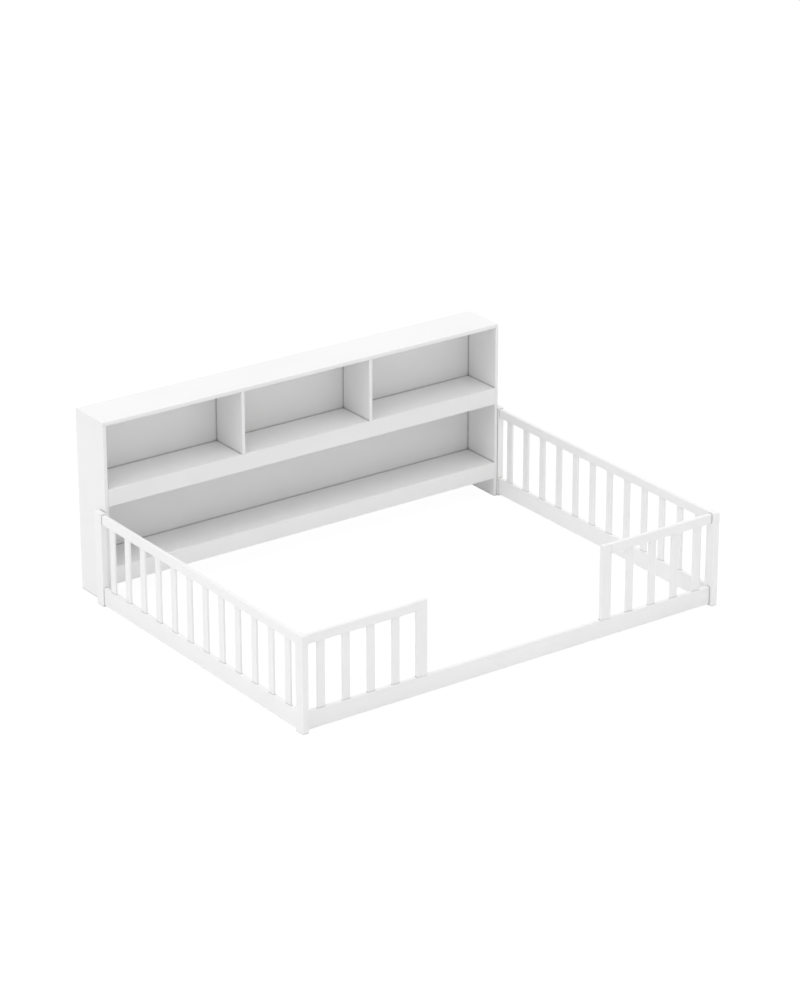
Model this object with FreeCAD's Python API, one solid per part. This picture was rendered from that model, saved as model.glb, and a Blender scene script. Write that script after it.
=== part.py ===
import FreeCAD, Part
import os

# Bookcase headboard bed: a low bookcase along one long side, slatted fences at both
# ends and two short slatted guards at the front, with an entry gap between them.
#
# All sizes are in millimetres. The origin is on the floor at the centre of the bed's
# footprint. X runs along the bookcase, -Y is the open front, +Y is the back of the
# bookcase and Z is up. "Left" is the -X side.

Vector = FreeCAD.Vector

# Driving dimensions: the whole bed
overall_width = 2000.0
bed_length = 1421.0  # front of the corner posts to the front of the bookcase

# Bookcase
bookcase_depth = 204.0
bookcase_height = 780.0
board_thickness = 15.0
board_edge_radius = 1.5
top_corner_radius = 6.0
middle_shelf_height = 494.0  # floor to the shelf's top face
lower_shelf_height = 155.0  # floor to the shelf's top face
apron_height = 73.0
centre_cubby_width = 614.0
back_panel_thickness = 5.0
back_panel_inset = 9.0
back_groove_depth = 4.0
stretcher_height = 60.0
stretcher_inset = 5.0

# Posts
post_width = 28.0
post_depth = 48.0
post_height = 400.0
post_edge_radius = 3.0
post_top_radius = 2.0
rear_post_lead = 6.0  # rear posts in front of the bookcase

# Rails
rail_thickness = 18.0
bottom_rail_height = 75.0
top_rail_height = 40.0
rail_edge_radius = 3.0
floor_gap = 6.0  # floor to the bottom rails
top_rail_drop = 5.0  # top of the posts to the top of the top rails

# Slats and end stiles
slat_width = 35.0
slat_thickness = 9.0
slat_edge_radius = 2.0
side_slat_count = 12
side_end_gap = 48.0  # post to the nearest side slat
guard_slat_count = 4
guard_end_gap = 52.0  # post to the nearest guard slat
guard_length = 581.0  # outer face of the corner post to the far face of the end stile
stile_width = 48.0
mortise_depth = 10.0

# Dowels
dowel_radius = 4.0
dowel_short_end = 9.0  # depth in a thin board's face or in a post
dowel_long_end = 21.0  # depth in the end or edge of a rail or board
dowel_chamfer = 0.8

# Bolts, barrel nuts and threaded inserts
bolt_radius = 3.0
bolt_head_radius = 6.0
bolt_head_height = 4.0
socket_radius = 2.3  # corner radius of the hexagonal socket
socket_depth = 2.6
counterbore_depth = 6.5
counterbore_room = 1.0  # radial, round a bolt head
barrel_radius = 5.0
barrel_length = 14.0
barrel_inset = 30.0  # end of the rail to the barrel nut's axis
bolt_overrun = 8.0  # bolt end beyond the barrel nut's axis
insert_radius = 5.0
insert_length = 12.0
post_bolt_heights = (200.0, 320.0)

# Cam fittings
cam_radius = 7.5
cam_length = 12.0
cam_inset = 34.0  # joint face to the cam's axis
cam_face_recess = 0.5
cam_slot_width = 2.0
cam_slot_depth = 1.5
stud_radius = 3.3
stud_neck_radius = 2.2
stud_neck_length = 6.0
stud_screwed_depth = 11.0
cam_edge_distance = 45.0  # front or rear edge of the bookcase to a cam's axis

# Cover caps
cap_thickness = 1.4
cap_stem_length = 2.0
cap_stem_radius = 1.8

# Clearances
mortise_fit = 0.15  # each side of a slat in its mortise
mortise_play = 0.5  # above a slat's upper end
hole_fit = 0.1  # radial, round a dowel, bolt, nut, insert or stud
end_play = 0.4  # past the end of a dowel, bolt or stud
groove_fit = 0.15  # each side of a back panel in its groove
cap_sink = 0.1  # a cap's face below the wood
same_place = 1e-6  # places closer than this count as one

# Heights of the fastenings above a rail's lower edge. The bolts of a side rail and of
# the front rail beside it pass through one post, so each has its own height.
side_bottom_bolt_rise = 52.0
side_bottom_dowel_rise = 20.0
front_bottom_bolt_rise = 34.0
front_bottom_dowel_rise = 62.0
side_top_bolt_rise = 12.0
side_top_dowel_rise = 30.0
front_top_bolt_rise = 28.0
front_top_dowel_rise = 10.0
stile_dowel_rises = (10.0, 30.0)
stile_dowel_offset = 10.0  # stile's centre line to a dowel in its foot
apron_dowel_rises = (20.0, 55.0)
stretcher_dowel_rises = (15.0, 45.0)
shelf_dowel_spacing = 600.0

# Sizes worked out from the driving dimensions
X = Vector(1, 0, 0)
Y = Vector(0, 1, 0)
Z = Vector(0, 0, 1)
SIDES = (("left", -1), ("right", 1))

half_width = overall_width / 2
overall_depth = bed_length + bookcase_depth
front_y = -overall_depth / 2
back_y = overall_depth / 2
bookcase_y = back_y - bookcase_depth

post_inner = half_width - post_width
side_panel_outer = post_inner  # the rear posts stand against the bookcase's sides
side_panel_inner = side_panel_outer - board_thickness
top_underside = bookcase_height - board_thickness
shelf_front_y = bookcase_y + board_thickness
groove_front_y = back_y - back_panel_inset - back_panel_thickness
groove_reach = side_panel_inner + back_groove_depth

front_post_y = (front_y, front_y + post_depth)
rear_post_front_y = bookcase_y - rear_post_lead
rear_post_y = (rear_post_front_y, rear_post_front_y + post_depth)
side_rail_x = half_width - post_width / 2
front_rail_y = front_y + post_depth / 2
rear_post_centre_y = rear_post_front_y + post_depth / 2
side_clear_length = rear_post_y[0] - front_post_y[1]

bottom_rail_z = (floor_gap, floor_gap + bottom_rail_height)
top_rail_z = (post_height - top_rail_drop - top_rail_height, post_height - top_rail_drop)
slat_z = (bottom_rail_z[1] - mortise_depth, top_rail_z[0] + mortise_depth - mortise_play)
stile_outer = half_width - guard_length
stile_inner = stile_outer + stile_width
counterbore_radius = bolt_head_radius + counterbore_room

side_slat_pitch = (side_clear_length - 2 * side_end_gap - slat_width) / (side_slat_count - 1)
guard_slat_pitch = (post_inner - guard_end_gap - stile_inner) / guard_slat_count

pieces = {}
cuts = {}
groups = {}


# Shapes and joints

def span(first, second):
    """The two places in rising order."""
    return (min(first, second), max(first, second))


def box(x, y, z):
    """Block between the low and high place along each axis."""
    return Part.makeBox(x[1] - x[0], y[1] - y[0], z[1] - z[0], Vector(x[0], y[0], z[0]))


def rod(start, direction, radius, length):
    """Round bar from start along direction."""
    return Part.makeCylinder(radius, length, start, direction)


def edges_along(shape, axis, normal=None, place=0.0):
    """Straight edges along axis, or only those in the plane at place along normal."""
    chosen = []
    for edge in shape.Edges:
        run = edge.Vertexes[-1].Point - edge.Vertexes[0].Point
        if run.Length < same_place or abs(run.normalize().dot(axis)) < 1 - same_place:
            continue
        if normal is None or abs(edge.BoundBox.Center.dot(normal) - place) < same_place:
            chosen.append(edge)
    return chosen


def upper_edges(shape, height):
    """Edges of the level face at height."""
    return [face for face in shape.Faces if face.CenterOfMass.z > height - same_place][0].Edges


def drill(name, tool):
    """Take the tool's shape out of the named piece."""
    cuts.setdefault(name, []).append(tool)


def fasten(name, solid):
    """Add one solid to the named group of fasteners."""
    groups.setdefault(name, []).append(solid)


def dowel_joint(point, direction, short_piece, long_piece):
    """Dowel through the joint face at point; direction runs into the long piece."""
    start = point - direction * dowel_short_end
    length = dowel_short_end + dowel_long_end
    hole = rod(start, direction, dowel_radius + hole_fit, length)
    drill(short_piece, hole)
    drill(long_piece, hole)
    dowel = rod(start + direction * end_play, direction, dowel_radius, length - 2 * end_play)
    rims = [edge for edge in dowel.Edges if len(edge.Vertexes) == 1]
    fasten("wooden_dowels", dowel.makeChamfer(dowel_chamfer, rims))


def hexagon_prism(start, direction, radius, length):
    """Six-sided bar from start along direction."""
    bar = Part.Face(Part.makePolygon(hexagon_points(radius))).extrude(Z * length)
    bar.Placement = FreeCAD.Placement(start, FreeCAD.Rotation(Z, direction))
    return bar


def hexagon_points(radius):
    """Closed ring of the six corners of a hexagon in the XY plane."""
    turn = FreeCAD.Rotation(Z, 60)
    ring = [Vector(radius, 0, 0)]
    for _ in range(6):
        ring.append(turn.multVec(ring[-1]))
    return ring


def cap(surface_point, inward, radius, stem_length):
    """Cover cap just below the wood at surface_point, with a stem that points inward."""
    start = surface_point + inward * cap_sink
    disc = rod(start, inward, radius - hole_fit, cap_thickness)
    if stem_length:
        disc = disc.fuse(rod(start, inward, cap_stem_radius, cap_thickness + stem_length))
    fasten("cover_caps", disc)


def bolt(group, post, surface_point, inward, shank_length):
    """Socket-head bolt let into a post at surface_point, under a cover cap."""
    drill(post, rod(surface_point, inward, counterbore_radius, counterbore_depth))
    seat = surface_point + inward * counterbore_depth
    head_start = seat - inward * bolt_head_height
    head = rod(head_start, inward, bolt_head_radius, bolt_head_height)
    solid = head.fuse(rod(seat, inward, bolt_radius, shank_length))
    solid = solid.cut(hexagon_prism(head_start, inward, socket_radius, socket_depth))
    fasten(group, solid.removeSplitter())
    cap(surface_point, inward, counterbore_radius, cap_stem_length)


def rail_bolt(joint_point, direction, post, post_size, rail, rail_inward):
    """Bolt through a post into a barrel nut in the rail whose end is at joint_point.

    The bolt runs along direction, and the nut goes in through the rail's inner face,
    on the side that rail_inward points to.
    """
    surface_point = joint_point - direction * post_size
    seat_to_joint = post_size - counterbore_depth
    shank_length = seat_to_joint + barrel_inset + bolt_overrun
    seat = surface_point + direction * counterbore_depth
    hole = rod(seat, direction, bolt_radius + hole_fit, shank_length + end_play)
    drill(post, hole)
    drill(rail, hole)
    bolt("rail_bolts", post, surface_point, direction, shank_length)

    nut_centre = joint_point + direction * barrel_inset
    rail_face = nut_centre + rail_inward * (rail_thickness / 2)
    nut_end = nut_centre - rail_inward * (barrel_length / 2)
    hole_length = rail_thickness / 2 + barrel_length / 2 + end_play
    drill(rail, rod(rail_face, -rail_inward, barrel_radius + hole_fit, hole_length))
    nut = rod(nut_end, rail_inward, barrel_radius, barrel_length)
    through = rod(nut_centre - direction * 2 * barrel_radius, direction,
                  bolt_radius + hole_fit, 4 * barrel_radius)
    fasten("barrel_nuts", nut.cut(through))
    cap(rail_face, -rail_inward, barrel_radius + hole_fit, 0.0)


def cam_joint(face_point, direction, stud_board, cam_board, cam_opening, covered):
    """Cam fitting between the face of stud_board and the edge of cam_board.

    The stud crosses the joint at face_point and runs along direction to the cam, which
    is let in from the side that cam_opening points to.
    """
    recess = cap_sink + cap_thickness if covered else cam_face_recess
    stud_start = face_point - direction * stud_screwed_depth
    hole = rod(stud_start - direction * end_play, direction, stud_radius + hole_fit,
               stud_screwed_depth + cam_inset + end_play)
    drill(stud_board, hole)
    drill(cam_board, hole)

    axis_point = face_point + direction * cam_inset
    board_face = axis_point + cam_opening * (board_thickness / 2)
    drill(cam_board, rod(board_face, -cam_opening, cam_radius + hole_fit, recess + cam_length))
    cam_face = board_face - cam_opening * recess
    cam = rod(cam_face, -cam_opening, cam_radius, cam_length)
    cam = cam.cut(rod(axis_point - direction * 2 * cam_radius, direction,
                      stud_radius + hole_fit, 2 * cam_radius + stud_radius))
    slot_side = cam_opening.cross(direction)
    slot = box((-cam_slot_width / 2, cam_slot_width / 2), (-cam_radius, cam_radius),
               (-cam_slot_depth, cam_slot_depth))
    slot.Placement = FreeCAD.Placement(cam_face, FreeCAD.Rotation(direction, slot_side, cam_opening))
    fasten("cam_housings", cam.cut(slot))
    if covered:
        cap(board_face, -cam_opening, cam_radius + hole_fit, 0.0)

    shank_length = stud_screwed_depth + cam_inset - stud_neck_length
    shank = rod(stud_start, direction, stud_radius, shank_length)
    neck = rod(stud_start + direction * shank_length, direction, stud_neck_radius, stud_neck_length)
    tip = rod(axis_point - direction * stud_neck_radius, direction, stud_radius, stud_neck_radius)
    fasten("cam_studs", shank.fuse([neck, tip]).removeSplitter())


# Bookcase

def rounded_front(shape, axis):
    """Ease the two front edges of a bookcase board that run along axis."""
    return shape.makeFillet(board_edge_radius, edges_along(shape, axis, Y, bookcase_y))


def add_bookcase_boards():
    """Sides, top, shelves, aprons, dividers and rear stretcher."""
    depth = (bookcase_y, back_y)
    shelf_depth = (shelf_front_y, back_y)
    inside = (-side_panel_inner, side_panel_inner)

    for side, sign in SIDES:
        x = span(sign * side_panel_inner, sign * side_panel_outer)
        panel = box(x, depth, (0, top_underside))
        pieces["bookcase_%s_side_panel" % side] = rounded_front(panel, Z)

    top = box((-side_panel_outer, side_panel_outer), depth, (top_underside, bookcase_height))
    top = top.makeFillet(top_corner_radius, edges_along(top, Z, Y, bookcase_y))
    pieces["bookcase_top_panel"] = top.makeFillet(board_edge_radius, upper_edges(top, bookcase_height))

    for name, height in (("middle", middle_shelf_height), ("lower", lower_shelf_height)):
        shelf_z = (height - board_thickness, height)
        pieces["bookcase_%s_shelf" % name] = box(inside, shelf_depth, shelf_z)
        apron = box(inside, (bookcase_y, shelf_front_y), (height - apron_height, height))
        pieces["bookcase_%s_apron" % name] = rounded_front(apron, X)

    for side, sign in SIDES:
        inner_face = centre_cubby_width / 2
        x = span(sign * inner_face, sign * (inner_face + board_thickness))
        divider = box(x, (bookcase_y, groove_front_y - groove_fit), (middle_shelf_height, top_underside))
        pieces["bookcase_%s_divider" % side] = rounded_front(divider, Z)

    stretcher_back = back_y - stretcher_inset
    stretcher_top = lower_shelf_height - board_thickness
    pieces["bookcase_rear_stretcher"] = box(inside, (stretcher_back - board_thickness, stretcher_back),
                                            (stretcher_top - stretcher_height, stretcher_top))


def add_back_panels():
    """Two back panels in grooves round the upper and the lower bay."""
    bays = (("upper", middle_shelf_height, top_underside),
            ("lower", lower_shelf_height, middle_shelf_height - board_thickness))
    groove_y = (groove_front_y - groove_fit, groove_front_y + back_panel_thickness + groove_fit)
    panel_y = (groove_front_y, groove_front_y + back_panel_thickness)
    panel_reach = groove_reach - end_play
    for bay, floor_z, ceiling_z in bays:
        groove_z = (floor_z - back_groove_depth, ceiling_z + back_groove_depth)
        panel_z = (groove_z[0], groove_z[1] - end_play)
        pieces["bookcase_%s_back_panel" % bay] = box((-panel_reach, panel_reach), panel_y, panel_z)
        groove = box((-groove_reach, groove_reach), groove_y, groove_z)
        for board in ("left_side_panel", "right_side_panel", "top_panel", "middle_shelf", "lower_shelf"):
            drill("bookcase_" + board, groove)


def join_bookcase():
    """Cam fittings and dowels that hold the bookcase together."""
    cam_places = (bookcase_y + cam_edge_distance, back_y - cam_edge_distance)
    middle = board_thickness / 2
    for side, sign in SIDES:
        panel = "bookcase_%s_side_panel" % side
        inward = X * -sign
        for y in cam_places:
            for name, height in (("middle", middle_shelf_height), ("lower", lower_shelf_height)):
                end = Vector(sign * side_panel_inner, y, height - middle)
                cam_joint(end, inward, panel, "bookcase_%s_shelf" % name, -Z, False)
            top_of_side = Vector(sign * (side_panel_outer - middle), y, top_underside)
            cam_joint(top_of_side, -Z, "bookcase_top_panel", panel, inward, True)

        for name, height in (("middle", middle_shelf_height), ("lower", lower_shelf_height)):
            for rise in apron_dowel_rises:
                end = Vector(sign * side_panel_inner, bookcase_y + middle, height - apron_height + rise)
                dowel_joint(end, inward, panel, "bookcase_%s_apron" % name)

        stretcher_foot = lower_shelf_height - board_thickness - stretcher_height
        for rise in stretcher_dowel_rises:
            end = Vector(sign * side_panel_inner, back_y - stretcher_inset - middle, stretcher_foot + rise)
            dowel_joint(end, inward, panel, "bookcase_rear_stretcher")

        divider = "bookcase_%s_divider" % side
        x = sign * (centre_cubby_width / 2 + middle)
        for y in cam_places:
            dowel_joint(Vector(x, y, middle_shelf_height), Z, "bookcase_middle_shelf", divider)
            dowel_joint(Vector(x, y, top_underside), -Z, "bookcase_top_panel", divider)

    for name, height in (("middle", middle_shelf_height), ("lower", lower_shelf_height)):
        for step in (-1, 0, 1):
            point = Vector(step * shelf_dowel_spacing, shelf_front_y, height - middle)
            dowel_joint(point, Y, "bookcase_%s_apron" % name, "bookcase_%s_shelf" % name)


# Posts, rails, slats and stiles

def add_posts():
    """Two front corner posts and two posts beside the bookcase."""
    for side, sign in SIDES:
        x = span(sign * post_inner, sign * half_width)
        for place, y in (("front", front_post_y), ("rear", rear_post_y)):
            post = box(x, y, (0, post_height))
            post = post.makeFillet(post_edge_radius, edges_along(post, Z))
            post = post.makeFillet(post_top_radius, upper_edges(post, post_height))
            pieces["%s_%s_post" % (place, side)] = post


def rail(axis, x, y, z):
    """Rail with its four long edges rounded."""
    bar = box(x, y, z)
    return bar.makeFillet(rail_edge_radius, edges_along(bar, axis))


def add_rails():
    """Bottom and top rails of both fences, the front rail and the guards' top rails."""
    across = rail_thickness / 2
    front_rail_depth = (front_rail_y - across, front_rail_y + across)
    for side, sign in SIDES:
        x = (sign * side_rail_x - across, sign * side_rail_x + across)
        y = (front_post_y[1], rear_post_y[0])
        pieces["%s_bottom_rail" % side] = rail(Y, x, y, bottom_rail_z)
        pieces["%s_top_rail" % side] = rail(Y, x, y, top_rail_z)
        guard_x = span(sign * stile_inner, sign * post_inner)
        pieces["front_%s_top_rail" % side] = rail(X, guard_x, front_rail_depth, top_rail_z)
        stile = box(span(sign * stile_outer, sign * stile_inner), front_rail_depth,
                    (bottom_rail_z[1], top_rail_z[1]))
        stile = stile.makeFillet(rail_edge_radius, edges_along(stile, Z))
        pieces["front_%s_end_stile" % side] = stile
    pieces["front_bottom_rail"] = rail(X, (-post_inner, post_inner), front_rail_depth, bottom_rail_z)


def slat(x, y, sizes):
    """Upright slat centred at x and y, with its long edges rounded."""
    bar = box((x - sizes[0] / 2, x + sizes[0] / 2), (y - sizes[1] / 2, y + sizes[1] / 2), slat_z)
    return bar.makeFillet(slat_edge_radius, edges_along(bar, Z))


def slat_mortises(x, y, sizes, bottom_rail, top_rail):
    """Mortises for one slat in the two rails that hold it."""
    half_x = sizes[0] / 2 + mortise_fit
    half_y = sizes[1] / 2 + mortise_fit
    pocket = box((x - half_x, x + half_x), (y - half_y, y + half_y),
                 (slat_z[0], slat_z[1] + mortise_play))
    drill(bottom_rail, pocket)
    drill(top_rail, pocket)


def add_slats():
    """Slats of the side fences and of the front guards."""
    side_sizes = (slat_thickness, slat_width)
    guard_sizes = (slat_width, slat_thickness)
    for side, sign in SIDES:
        for index in range(side_slat_count):
            y = rear_post_y[0] - side_end_gap - slat_width / 2 - index * side_slat_pitch
            x = sign * side_rail_x
            pieces["%s_slat_%02d" % (side, index + 1)] = slat(x, y, side_sizes)
            slat_mortises(x, y, side_sizes, side + "_bottom_rail", side + "_top_rail")
        for index in range(guard_slat_count):
            x = sign * (post_inner - guard_end_gap - slat_width / 2 - index * guard_slat_pitch)
            fasten("front_%s_slats" % side, slat(x, front_rail_y, guard_sizes))
            slat_mortises(x, front_rail_y, guard_sizes, "front_bottom_rail",
                          "front_%s_top_rail" % side)


def join_rails():
    """Bolts and dowels at the rails' ends, and dowels at the end stiles."""
    side_rails = (("bottom", bottom_rail_z[0], side_bottom_bolt_rise, side_bottom_dowel_rise),
                  ("top", top_rail_z[0], side_top_bolt_rise, side_top_dowel_rise))
    for side, sign in SIDES:
        inward = X * -sign
        post = "front_%s_post" % side
        for level, base, bolt_rise, dowel_rise in side_rails:
            name = "%s_%s_rail" % (side, level)
            for place, y, direction in (("front", front_post_y[1], Y), ("rear", rear_post_y[0], -Y)):
                end = Vector(sign * side_rail_x, y, base)
                end_post = "%s_%s_post" % (place, side)
                rail_bolt(end + Z * bolt_rise, direction, end_post, post_depth, name, inward)
                dowel_joint(end + Z * dowel_rise, direction, end_post, name)

        foot = Vector(sign * post_inner, front_rail_y, bottom_rail_z[0])
        rail_bolt(foot + Z * front_bottom_bolt_rise, inward, post, post_width, "front_bottom_rail", Y)
        dowel_joint(foot + Z * front_bottom_dowel_rise, inward, post, "front_bottom_rail")

        guard_rail = "front_%s_top_rail" % side
        upper = Vector(sign * post_inner, front_rail_y, top_rail_z[0])
        rail_bolt(upper + Z * front_top_bolt_rise, inward, post, post_width, guard_rail, Y)
        dowel_joint(upper + Z * front_top_dowel_rise, inward, post, guard_rail)

        stile = "front_%s_end_stile" % side
        for rise in stile_dowel_rises:
            point = Vector(sign * stile_inner, front_rail_y, top_rail_z[0] + rise)
            dowel_joint(point, -inward, stile, guard_rail)
        for offset in (-stile_dowel_offset, stile_dowel_offset):
            x = sign * (stile_outer + stile_width / 2) + offset
            dowel_joint(Vector(x, front_rail_y, bottom_rail_z[1]), Z, "front_bottom_rail", stile)


def join_posts_to_bookcase():
    """Bolts through the rear posts into threaded inserts in the bookcase's sides."""
    for side, sign in SIDES:
        inward = X * -sign
        post = "rear_%s_post" % side
        panel = "bookcase_%s_side_panel" % side
        for height in post_bolt_heights:
            surface_point = Vector(sign * half_width, rear_post_centre_y, height)
            joint_point = surface_point + inward * post_width
            drill(post, rod(surface_point, inward, bolt_radius + hole_fit, post_width))
            shank_length = post_width - counterbore_depth + insert_length - end_play
            bolt("post_bolts", post, surface_point, inward, shank_length)
            drill(panel, rod(joint_point, inward, insert_radius + hole_fit, insert_length))
            insert = rod(joint_point, inward, insert_radius, insert_length)
            fasten("post_inserts", insert.cut(rod(joint_point, inward, bolt_radius + hole_fit,
                                                  insert_length)))


# The whole bed

def write_parts():
    """Cut the joints into the pieces and write one file for each node."""
    os.makedirs("parts", exist_ok=True)
    for name, shape in pieces.items():
        if name in cuts:
            shape = shape.cut(cuts[name])
        shape.exportStep("parts/%s.step" % name)
    for name, solids in groups.items():
        Part.makeCompound(solids).exportStep("parts/%s.step" % name)


add_bookcase_boards()
add_back_panels()
join_bookcase()
add_posts()
add_rails()
add_slats()
join_rails()
join_posts_to_bookcase()
write_parts()
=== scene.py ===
import math

import bmesh
import bpy
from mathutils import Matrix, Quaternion, Vector


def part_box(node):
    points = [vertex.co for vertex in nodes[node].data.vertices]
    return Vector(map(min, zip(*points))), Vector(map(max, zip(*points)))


# A white bookcase headboard bed. Its solids come from the frame, and this script gives
# them their painted surfaces, the pale studio round them, and the camera.

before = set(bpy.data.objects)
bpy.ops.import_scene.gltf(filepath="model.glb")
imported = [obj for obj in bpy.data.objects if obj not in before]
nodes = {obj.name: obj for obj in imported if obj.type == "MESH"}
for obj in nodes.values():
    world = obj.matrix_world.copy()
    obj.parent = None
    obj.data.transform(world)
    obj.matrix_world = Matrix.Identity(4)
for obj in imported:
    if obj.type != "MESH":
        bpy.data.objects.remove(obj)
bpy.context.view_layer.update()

# Camera: place and reach in metres, direction in degrees, lens and sensor in millimetres.
# The sensor's width spans the 1000 pixels of the 800 by 1000 frame.
CAMERA_PLACE = Vector((-7.7940, -10.9093, 6.0482))
CAMERA_AZIMUTH = -35.630
CAMERA_ELEVATION = 22.760
CAMERA_ROLL = -0.061
CAMERA_LENS = 131.75
CAMERA_SENSOR = 36.0
VIEW_REACH = 200.0

# Studio light: brightness of the sky overhead and towards each side of the horizon,
# and a broad key light from upper left
SKY_ZENITH = 1.13
SKY_LEFT = 0.47
SKY_FRONT = 0.60
SKY_RIGHT = 0.50
SKY_BACK = 1.15
SKY_TURN = (0.2, 0.9)  # height of a direction where the sides give way to the zenith
KEY_DIRECTION = Vector((-0.50, -0.16, 0.85))
KEY_STRENGTH = 0.50
KEY_ANGLE = 40.0

# Floors: a white one that the camera sees, and a pale one that only bounces light. A
# white dome behind them closes the view.
FLOOR_SIZE = 80.0
WHITE_FLOOR_TONE = 0.08
WHITE_FLOOR_GLOW = 0.95
BOUNCE_FLOOR_TONE = 0.98
BOUNCE_FLOOR_DROP = 0.001
DOME_GLOW = 1.0
DOME_SEGMENTS = 64
DOME_RINGS = 32

# Paint tones, linear; also the painted corner shade (tone, reach in metres) and the painted edge
# highlight
TIMBER_TONE = 0.925
BOARD_TONE = 0.900
BACK_TONE = 0.860
# Painted shade that darkens inside corners and narrow gaps: its tone, and how far it reaches in
# metres
CORNER_SHADE_TONE = 0.450
RAIL_SHADE_REACH = 0.008
SLAT_SHADE_REACH = 0.004
BOARD_SHADE_REACH = 0.012
# Painted highlight that lightens rounded edges
EDGE_HIGHLIGHT_TONE = 0.970

# Paint over solid wood: waves per metre, and relief and rounding in metres
GRAIN_ALONG = 7.0
GRAIN_ACROSS = 190.0
PORES_TO_GRAIN = 4.5
STIPPLE_WAVES = 900.0
GRAIN_RELIEF = 0.00025
PORE_RELIEF = 0.00006
STIPPLE_RELIEF = 0.00003
TIMBER_ROUNDING = 0.0015

# Paint over boards
PEEL_WAVES = 420.0
SWELL_WAVES = 14.0
SWELL_RELIEF = 0.00020
BOARD_PEEL_RELIEF = 0.00004
HARDBOARD_PEEL_RELIEF = 0.00008
BOARD_ROUNDING = 0.0020

# Fittings: linear colours, and relief and rounding in metres
STEEL_DULL = (0.60, 0.61, 0.63, 1.0)
STEEL_BRIGHT = (0.74, 0.75, 0.76, 1.0)
STEEL_MARK_RELIEF = 0.00003
PLASTIC_PALE = 0.925
PLASTIC_DEEP = 0.910
PLASTIC_EDGE = 0.900
PLASTIC_ROUNDING = 0.0003
PLASTIC_RELIEF = 0.00002
BEECH_DARK = (0.56, 0.36, 0.19, 1.0)
BEECH_PALE = (0.66, 0.45, 0.26, 1.0)
BEECH_FLECK = (0.36, 0.20, 0.10, 1.0)
BEECH_RELIEF = 0.00008

# Masks: how far a rounded edge turns, and how shut a corner is for the painted corner shade, from
# none to full
EDGE_TURN = (0.01, 0.25)
CORNER_SHADE_SHUT = (0.10, 0.60)

# Texture shift between pieces, in metres along each axis
PIECE_SHIFT = (17.3, 11.9, 7.1)

# A guard's top rail runs into its end stile in one painted face, without painted corner shade there.
# The stile shows the painted shade at its foot alone, and the rail from a short way past the stile.
SHADE_FADE_START = 0.010
SHADE_FADE_END = 0.030


# Shader helpers

def new_material(name):
    """A material with its node tree and its Principled shader."""
    material = bpy.data.materials.new(name)
    material.use_nodes = True
    tree = material.node_tree
    return material, tree, tree.nodes["Principled BSDF"]


def add(tree, kind, **inputs):
    """A node of that kind; each keyword sets or links the input of that name."""
    node = tree.nodes.new("ShaderNode" + kind)
    for name, value in inputs.items():
        put(tree, node.inputs[name.replace("_", " ")], value)
    return node


def put(tree, socket, value):
    """Give a socket a constant, or link it to another node's output."""
    if isinstance(value, bpy.types.NodeSocket):
        tree.links.new(value, socket)
    else:
        socket.default_value = value


def math_node(tree, operation, first, second):
    """Result of one arithmetic step."""
    node = tree.nodes.new("ShaderNodeMath")
    node.operation = operation
    put(tree, node.inputs[0], first)
    put(tree, node.inputs[1], second)
    return node.outputs["Value"]


def piece_place(tree):
    """Place in the bed's frame, shifted by a different amount for each piece."""
    shift = tree.nodes.new("ShaderNodeVectorMath")
    shift.operation = "SCALE"
    shift.inputs["Vector"].default_value = PIECE_SHIFT
    put(tree, shift.inputs["Scale"], add(tree, "ObjectInfo").outputs["Random"])
    total = tree.nodes.new("ShaderNodeVectorMath")
    total.operation = "ADD"
    put(tree, total.inputs[0], add(tree, "TexCoord").outputs["Object"])
    put(tree, total.inputs[1], shift.outputs["Vector"])
    return total.outputs["Vector"]


def noise(tree, place, scale, detail=3.0, roughness=0.5, distortion=0.0):
    """Noise from 0 to 1. scale is waves per metre, one number or one for each axis."""
    if isinstance(scale, tuple):
        place = add(tree, "Mapping", Vector=place, Scale=scale).outputs["Vector"]
        scale = 1.0
    return add(tree, "TexNoise", Vector=place, Scale=scale, Detail=detail, Roughness=roughness,
               Distortion=distortion).outputs["Fac"]


def ramp(tree, value, none, full):
    """value turned into 0 at none and 1 at full, smoothly between. Either may be the larger."""
    node = add(tree, "MapRange", Value=value)
    node.interpolation_type = "SMOOTHSTEP"
    node.inputs["From Min"].default_value = none
    node.inputs["From Max"].default_value = full
    return node.outputs["Result"]


def blend(tree, factor, first, second):
    """Colour between two colours or sockets. Sockets 6, 7 and 2 are the mix node's colours."""
    node = tree.nodes.new("ShaderNodeMix")
    node.data_type = "RGBA"
    put(tree, node.inputs["Factor"], factor)
    put(tree, node.inputs[6], first)
    put(tree, node.inputs[7], second)
    return node.outputs[2]


def bump(tree, height, depth, normal):
    """Surface relief: height from 0 to 1 stands for depth in metres."""
    return add(tree, "Bump", Height=height, Distance=depth, Strength=1.0,
               Normal=normal).outputs["Normal"]


def set_roughness(tree, shader, texture, lowest, spread):
    """Roughness from lowest to lowest + spread, as the texture goes from 0 to 1."""
    rough = math_node(tree, "MULTIPLY_ADD", texture, spread)
    rough.node.inputs[2].default_value = lowest
    put(tree, shader.inputs["Roughness"], rough)


def surface_normal(tree):
    """Normal of the bare mesh."""
    return add(tree, "NewGeometry").outputs["Normal"]


def soft_edges(tree, radius):
    """Normal that rounds sharp edges by radius, and a mask that is 1 on those edges."""
    rounded = add(tree, "Bevel", Radius=radius)
    rounded.samples = 4
    meet = tree.nodes.new("ShaderNodeVectorMath")
    meet.operation = "DOT_PRODUCT"
    put(tree, meet.inputs[0], rounded.outputs["Normal"])
    put(tree, meet.inputs[1], surface_normal(tree))
    mask = ramp(tree, math_node(tree, "SUBTRACT", 1.0, meet.outputs["Value"]), *EDGE_TURN)
    return rounded.outputs["Normal"], mask


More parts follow.
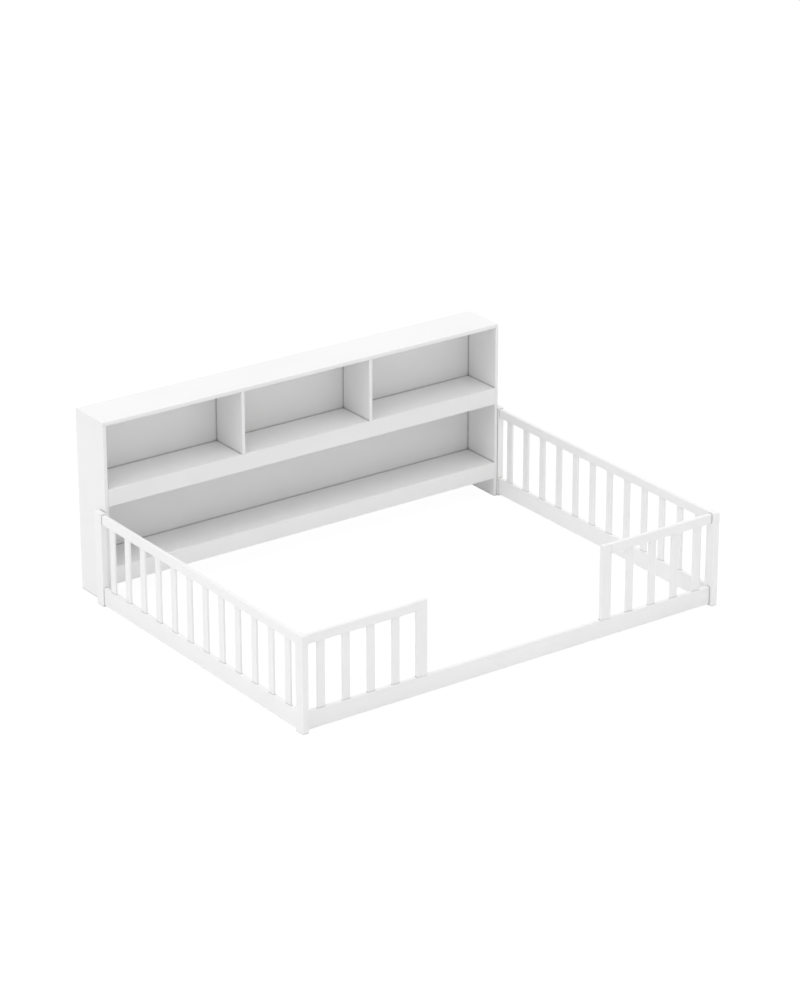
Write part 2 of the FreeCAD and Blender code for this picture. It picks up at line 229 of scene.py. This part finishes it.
def painted_corner_shade(tree, reach):
    """Painted shade: mask that is 1 in inside corners and narrow gaps, where shade falls, and fades
    out over reach in metres.
    """
    shut = add(tree, "AmbientOcclusion", Distance=reach)
    shut.samples = 8
    return ramp(tree, math_node(tree, "SUBTRACT", 1.0, shut.outputs["AO"]), *CORNER_SHADE_SHUT)


def grey(tone, warmth=0.0):
    """Nearly neutral colour of that linear tone."""
    return (tone, tone * (1.0 - 0.3 * warmth), tone * (1.0 - warmth), 1.0)


def from_middle(tree, axis):
    """Distance of a place from the bed's middle plane across that axis, or its height for z."""
    parts = add(tree, "SeparateXYZ", Vector=add(tree, "TexCoord").outputs["Object"]).outputs
    return math_node(tree, "ABSOLUTE", parts[axis.upper()], 0.0)


# Materials

def painted_timber(name, axis, shade_reach, shaded_span=None):
    """Satin white paint over solid wood whose grain runs along that axis, with painted edge
    highlights and painted shade in inside corners. The last argument, where given, is (axis, bare,
    full): the painted shade shows from none at bare to full, both measured by from_middle."""
    material, tree, shader = new_material(name)
    place = piece_place(tree)
    scale = tuple(GRAIN_ALONG if axis == each else GRAIN_ACROSS for each in "xyz")
    grain = noise(tree, place, scale, 4.0, 0.55, 0.6)
    pores = noise(tree, place, tuple(PORES_TO_GRAIN * part for part in scale), 2.0, 0.6)
    stipple = noise(tree, place, STIPPLE_WAVES, 2.0)
    clouds = noise(tree, place, 5.0, 2.0)
    normal, edge = soft_edges(tree, TIMBER_ROUNDING)

    colour = blend(tree, ramp(tree, grain, 0.35, 0.75), grey(TIMBER_TONE),
                   grey(TIMBER_TONE * 0.985, 0.002))
    colour = blend(tree, ramp(tree, clouds, 0.3, 0.8), colour, grey(TIMBER_TONE * 0.975, 0.003))
    # Painted highlight: lighter paint on the rounded edges
    colour = blend(tree, math_node(tree, "MULTIPLY", edge, 0.5), colour, grey(EDGE_HIGHLIGHT_TONE))
    # Painted shade: darker paint in inside corners and narrow gaps, where shade falls
    corner_shade = painted_corner_shade(tree, shade_reach)
    if shaded_span:
        shade_axis, bare, full = shaded_span
        shown = ramp(tree, from_middle(tree, shade_axis), bare, full)
        corner_shade = math_node(tree, "MULTIPLY", corner_shade, shown)
    colour = blend(tree, corner_shade, colour, grey(CORNER_SHADE_TONE))
    put(tree, shader.inputs["Base Color"], colour)

    set_roughness(tree, shader, stipple, 0.40, 0.08)
    normal = bump(tree, ramp(tree, grain, 0.3, 0.8), GRAIN_RELIEF, normal)
    normal = bump(tree, ramp(tree, pores, 0.55, 0.75), PORE_RELIEF, normal)
    normal = bump(tree, stipple, STIPPLE_RELIEF, normal)
    put(tree, shader.inputs["Normal"], normal)
    return material


def painted_board(name, tone, peel_relief):
    """Satin white paint rolled on a smooth wood board, with painted edge highlights and painted
    shade in inside corners.
    """
    material, tree, shader = new_material(name)
    place = piece_place(tree)
    peel = noise(tree, place, PEEL_WAVES, 3.0, 0.6)
    swell = noise(tree, place, SWELL_WAVES, 2.0)
    clouds = noise(tree, place, 3.0, 3.0)
    normal, edge = soft_edges(tree, BOARD_ROUNDING)
    colour = blend(tree, ramp(tree, clouds, 0.3, 0.75), grey(tone), grey(tone * 0.98, 0.003))
    # Painted highlight: lighter paint on the rounded edges
    colour = blend(tree, math_node(tree, "MULTIPLY", edge, 0.8), colour, grey(EDGE_HIGHLIGHT_TONE))
    # Painted shade: darker paint in inside corners and narrow gaps, where shade falls
    colour = blend(tree, painted_corner_shade(tree, BOARD_SHADE_REACH), colour, grey(CORNER_SHADE_TONE))
    put(tree, shader.inputs["Base Color"], colour)
    set_roughness(tree, shader, peel, 0.38, 0.10)
    normal = bump(tree, swell, SWELL_RELIEF, normal)
    normal = bump(tree, peel, peel_relief, normal)
    put(tree, shader.inputs["Normal"], normal)
    return material


def zinc_steel():
    """Bright zinc plating, with fine turning marks and faint spangle."""
    material, tree, shader = new_material("zinc_steel")
    place = piece_place(tree)
    marks = noise(tree, place, (60.0, 60.0, 2600.0), 2.0)
    spangle = noise(tree, place, 240.0, 4.0, 0.7)
    shader.inputs["Metallic"].default_value = 1.0
    put(tree, shader.inputs["Base Color"], blend(tree, spangle, STEEL_DULL, STEEL_BRIGHT))
    set_roughness(tree, shader, spangle, 0.24, 0.18)
    normal = bump(tree, marks, STEEL_MARK_RELIEF, surface_normal(tree))
    put(tree, shader.inputs["Normal"], normal)
    return material


def white_plastic():
    """Moulded white plastic with a fine spark-eroded texture."""
    material, tree, shader = new_material("white_plastic")
    place = piece_place(tree)
    texture = noise(tree, place, 1600.0, 2.0, 0.6)
    clouds = noise(tree, place, 40.0, 2.0)
    normal, edge = soft_edges(tree, PLASTIC_ROUNDING)
    colour = blend(tree, clouds, grey(PLASTIC_PALE, 0.002), grey(PLASTIC_DEEP, 0.004))
    put(tree, shader.inputs["Base Color"], blend(tree, edge, colour, grey(PLASTIC_EDGE, 0.004)))
    set_roughness(tree, shader, texture, 0.36, 0.12)
    put(tree, shader.inputs["Normal"], bump(tree, texture, PLASTIC_RELIEF, normal))
    return material


def bare_beech():
    """Turned beech with short dark flecks."""
    material, tree, shader = new_material("bare_beech")
    place = piece_place(tree)
    flecks = noise(tree, place, (300.0, 300.0, 300.0), 3.0, 0.7, 1.0)
    rings = noise(tree, place, 60.0, 3.0, 0.5, 2.0)
    wood = blend(tree, ramp(tree, rings, 0.3, 0.7), BEECH_DARK, BEECH_PALE)
    colour = blend(tree, ramp(tree, flecks, 0.60, 0.72), wood, BEECH_FLECK)
    put(tree, shader.inputs["Base Color"], colour)
    set_roughness(tree, shader, flecks, 0.5, 0.2)
    put(tree, shader.inputs["Normal"], bump(tree, flecks, BEECH_RELIEF, surface_normal(tree)))
    return material


def dress_nodes():
    """Give every piece of the bed its material."""
    stile_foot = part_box("front_bottom_rail")[1].z
    stile_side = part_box("front_right_end_stile")[1].x
    upright = painted_timber("painted_upright", "z", RAIL_SHADE_REACH)
    slat = painted_timber("painted_slat", "z", SLAT_SHADE_REACH)
    # Stiles get painted corner shade at their feet alone, guard top rails only away from the stiles
    stile = painted_timber("painted_stile", "z", RAIL_SHADE_REACH,
                           ("z", stile_foot + SHADE_FADE_END, stile_foot + SHADE_FADE_START))
    guard_rail = painted_timber("painted_guard_rail", "x", RAIL_SHADE_REACH,
                                ("x", stile_side + SHADE_FADE_START, stile_side + SHADE_FADE_END))
    cross_rail = painted_timber("painted_cross_rail", "x", RAIL_SHADE_REACH)
    side_rail = painted_timber("painted_side_rail", "y", RAIL_SHADE_REACH)
    board = painted_board("painted_board", BOARD_TONE, BOARD_PEEL_RELIEF)
    back = painted_board("painted_hardboard", BACK_TONE, HARDBOARD_PEEL_RELIEF)
    steel = zinc_steel()
    small = {"cover_caps": white_plastic(), "wooden_dowels": bare_beech()}
    metal = ("rail_bolts", "post_bolts", "barrel_nuts", "post_inserts", "cam_housings", "cam_studs")
    for name, piece in nodes.items():
        if name in small:
            material = small[name]
        elif name in metal:
            material = steel
        elif name.endswith("back_panel"):
            material = back
        elif name.startswith("bookcase"):
            material = board
        elif "slat" in name:
            material = slat
        elif name.endswith("post"):
            material = upright
        elif name.endswith("stile"):
            material = stile
        elif name.startswith("front") and name.endswith("top_rail"):
            material = guard_rail
        elif name.startswith("front"):
            material = cross_rail
        else:
            material = side_rail
        piece.data.materials.clear()
        piece.data.materials.append(material)


# Studio

def floor_mesh():
    """Square level sheet."""
    half = FLOOR_SIZE / 2
    mesh = bpy.data.meshes.new("floor")
    mesh.from_pydata([(-half, -half, 0), (half, -half, 0), (half, half, 0), (-half, half, 0)], [],
                     [(0, 1, 2, 3)])
    return mesh


def dome_mesh():
    """Ball that just holds the edges of the floor's inscribed circle."""
    mesh = bpy.data.meshes.new("dome")
    ball = bmesh.new()
    bmesh.ops.create_uvsphere(ball, u_segments=DOME_SEGMENTS, v_segments=DOME_RINGS,
                              radius=FLOOR_SIZE / 2)
    ball.to_mesh(mesh)
    ball.free()
    return mesh


def stage_piece(name, mesh, tone, glow):
    """Part of the plain studio, which isn't part of the bed."""
    piece = bpy.data.objects.new(name, mesh)
    bpy.context.scene.collection.objects.link(piece)
    material, tree, shader = new_material(name)
    place = add(tree, "TexCoord").outputs["Object"]
    colour = blend(tree, noise(tree, place, 1.5, 2.0), grey(tone), grey(tone * 0.99))
    put(tree, shader.inputs["Base Color"], colour)
    shader.inputs["Roughness"].default_value = 0.9
    shader.inputs["Specular IOR Level"].default_value = 0.0
    shader.inputs["Emission Color"].default_value = grey(1.0)
    shader.inputs["Emission Strength"].default_value = glow
    mesh.materials.append(material)
    return piece


def add_studio():
    """White floor and dome for the camera, and the floor that lights the bed from below."""
    white = stage_piece("white_floor", floor_mesh(), WHITE_FLOOR_TONE, WHITE_FLOOR_GLOW)
    dome = stage_piece("white_dome", dome_mesh(), 0.0, DOME_GLOW)
    for piece in (white, dome):
        piece.visible_diffuse = False
        piece.visible_glossy = False
        piece.visible_shadow = False
    bounce = stage_piece("bounce_floor", floor_mesh(), BOUNCE_FLOOR_TONE, 0.0)
    bounce.location.z = -BOUNCE_FLOOR_DROP
    bounce.visible_camera = False


def lobe(tree, part, side):
    """Brightness that grows from 0 to side as one part of the direction grows to 1."""
    facing = math_node(tree, "MAXIMUM", part, 0.0)
    return math_node(tree, "MULTIPLY", math_node(tree, "MULTIPLY", facing, facing), side)


def add_light():
    """Soft studio: a sky bright overhead, with its own brightness towards each side."""
    world = bpy.data.worlds.new("studio")
    world.use_nodes = True
    tree = world.node_tree
    way = add(tree, "SeparateXYZ", Vector=add(tree, "TexCoord").outputs["Generated"]).outputs
    horizon = lobe(tree, way["X"], SKY_RIGHT)
    for part, side in ((math_node(tree, "MULTIPLY", way["X"], -1.0), SKY_LEFT),
                       (math_node(tree, "MULTIPLY", way["Y"], -1.0), SKY_FRONT),
                       (way["Y"], SKY_BACK)):
        horizon = math_node(tree, "ADD", horizon, lobe(tree, part, side))
    overhead = ramp(tree, way["Z"], *SKY_TURN)
    low = add(tree, "CombineColor", Red=horizon, Green=horizon, Blue=horizon).outputs["Color"]
    put(tree, tree.nodes["Background"].inputs["Color"], blend(tree, overhead, low, grey(SKY_ZENITH)))
    bpy.context.scene.world = world

    key = bpy.data.objects.new("key", bpy.data.lights.new("key", "SUN"))
    key.data.energy = KEY_STRENGTH
    key.data.angle = math.radians(KEY_ANGLE)
    key.rotation_euler = KEY_DIRECTION.to_track_quat("Z", "Y").to_euler()
    bpy.context.scene.collection.objects.link(key)


def add_camera():
    """Camera at the photograph's viewing angle."""
    azimuth = math.radians(CAMERA_AZIMUTH)
    elevation = math.radians(CAMERA_ELEVATION)
    back = Vector((math.sin(azimuth) * math.cos(elevation), -math.cos(azimuth) * math.cos(elevation),
                   math.sin(elevation)))
    camera = bpy.data.objects.new("camera", bpy.data.cameras.new("camera"))
    camera.location = CAMERA_PLACE
    roll = Quaternion((0.0, 0.0, 1.0), math.radians(CAMERA_ROLL))
    camera.rotation_euler = (back.to_track_quat("Z", "Y") @ roll).to_euler()
    camera.data.lens = CAMERA_LENS
    camera.data.sensor_width = CAMERA_SENSOR
    camera.data.clip_end = VIEW_REACH
    bpy.context.scene.collection.objects.link(camera)
    bpy.context.scene.camera = camera


add_camera()
dress_nodes()
add_studio()
add_light()
bpy.context.scene.view_settings.view_transform = "Standard"
